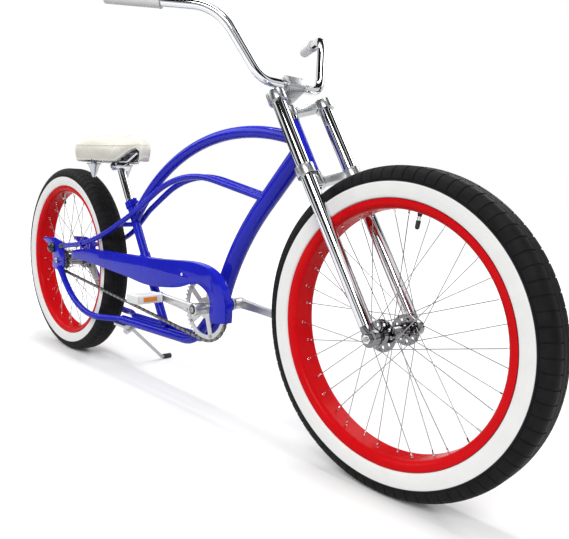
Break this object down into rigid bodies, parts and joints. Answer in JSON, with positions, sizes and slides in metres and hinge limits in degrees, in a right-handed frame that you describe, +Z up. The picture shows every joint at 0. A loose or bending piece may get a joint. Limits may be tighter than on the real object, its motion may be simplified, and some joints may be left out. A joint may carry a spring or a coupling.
{
  "type": "beach cruiser bicycle",
  "caption": "Stretched beach cruiser bicycle with twin arched tubes, a triple-tree chrome fork, red rims, whitewall tyres, a chainguard and a wide cream saddle.",
  "frame": {"origin": "on the ground midway between the two hubs, in the bicycle's centre plane", "axes": "+X forward, +Y to the rider's left, +Z up"},
  "size_m": [2.224, 0.6998, 1.0968],
  "materials": {
    "frame_paint": "gloss",
    "rim_paint": "gloss",
    "chrome": "polished",
    "alloy": "polished",
    "steel": "satin",
    "tyre_rubber": "matte",
    "white_rubber": "satin",
    "white_plastic": "satin",
    "saddle_vinyl": "satin",
    "black_plastic": "matte",
    "black_rubber": "matte"
  },
  "bodies": {
    "frame": {"head_tube": "frame_paint", "headset_cups": "chrome", "top_tube": "frame_paint", "down_tube": "frame_paint", "seat_tube": "frame_paint", "left_arch_tube": "frame_paint", "right_arch_tube": "frame_paint", "left_lower_stay": "frame_paint", "right_lower_stay": "frame_paint", "left_dropout": "frame_paint", "right_dropout": "frame_paint", "stay_bridge": "frame_paint", "bb_shell": "frame_paint", "bb_cups": "steel", "seat_collar": "chrome", "chainguard": "frame_paint", "chainguard_brackets": "frame_paint", "rear_axle": "steel", "rear_axle_nuts": "chrome", "stay_cap": "black_plastic", "brake_arm": "steel", "drive_chain": "steel", "kickstand_bracket": "chrome"},
    "fork": {"left_fork_leg": "chrome", "right_fork_leg": "chrome", "steerer": "chrome", "lower_crown": "chrome", "upper_crown": "chrome", "fork_lugs": "chrome", "stem": "chrome", "stem_bolts": "steel", "front_axle": "steel", "front_axle_nuts": "chrome"},
    "bars": {"handlebar": "chrome", "left_grip": "white_rubber", "right_grip": "white_rubber"},
    "front_wheel": {"front_tyre": "tyre_rubber", "front_rim": "rim_paint", "front_hub": "chrome", "front_spokes": "chrome"},
    "rear_wheel": {"rear_tyre": "tyre_rubber", "rear_rim": "rim_paint", "rear_hub": "chrome", "rear_spokes": "chrome"},
    "sprocket": {"rear_sprocket": "steel"},
    "crankset": {"crank_spindle": "steel", "chainring": "alloy", "left_crank_arm": "alloy", "right_crank_arm": "alloy", "pedal_axles": "steel"},
    "left_pedal_body": {"left_pedal": "white_plastic"},
    "right_pedal_body": {"right_pedal": "white_plastic"},
    "kickstand": {"kickstand_leg": "chrome", "kickstand_foot": "black_rubber"},
    "post": {"seatpost": "chrome"},
    "saddle": {"saddle_clamp": "chrome", "saddle_rails": "chrome", "saddle_pan": "black_plastic", "saddle_cushion": "saddle_vinyl", "saddle_bumpers": "chrome"}
  },
  "joints": [
    {"name": "steering", "type": "hinge", "parent": "frame", "child": "fork", "pos_m": [0.71514, 0, 0.32825], "axis": [-0.515, 0, 0.8572], "range_deg": [-50, 50]},
    {"name": "bar_tilt", "type": "hinge", "parent": "fork", "child": "bars", "pos_m": [0.421, 0, 0.89932], "axis": [0, 1, 0], "range_deg": [-15, 15]},
    {"name": "front_wheel_spin", "type": "hinge", "parent": "fork", "child": "front_wheel", "pos_m": [0.758, 0, 0.354], "axis": [0, 1, 0], "continuous": true},
    {"name": "rear_wheel_spin", "type": "hinge", "parent": "frame", "child": "rear_wheel", "pos_m": [-0.758, 0, 0.354], "axis": [0, 1, 0], "continuous": true},
    {"name": "crank_spin", "type": "hinge", "parent": "frame", "child": "crankset", "pos_m": [0.163, 0, 0.316], "axis": [0, 1, 0], "continuous": true},
    {"name": "sprocket_spin", "type": "hinge", "parent": "frame", "child": "sprocket", "pos_m": [-0.758, 0, 0.354], "axis": [0, 1, 0], "continuous": true},
    {"name": "right_pedal_spin", "type": "hinge", "parent": "crankset", "child": "right_pedal_body", "pos_m": [-0.00659, -0.14, 0.32786], "axis": [0, 1, 0], "continuous": true},
    {"name": "left_pedal_spin", "type": "hinge", "parent": "crankset", "child": "left_pedal_body", "pos_m": [0.33259, 0.13, 0.30414], "axis": [0, 1, 0], "continuous": true},
    {"name": "kickstand_fold", "type": "hinge", "parent": "frame", "child": "kickstand", "pos_m": [-0.349, 0.014, 0.15], "axis": [-0.3081, 0.9268, 0.2148], "range_deg": [0, 81.5]},
    {"name": "seatpost_slide", "type": "slide", "parent": "frame", "child": "post", "axis": [-0.4873, 0, 0.8733], "range_m": [-0.06, 0.12]},
    {"name": "saddle_tilt", "type": "hinge", "parent": "post", "child": "saddle", "pos_m": [-0.40132, 0, 0.71365], "axis": [0, 1, 0], "range_deg": [-10, 10]}
  ],
  "couplings": [
    {"joint": "sprocket_spin", "follows": "crank_spin", "ratio": 2.5556}
  ]
}
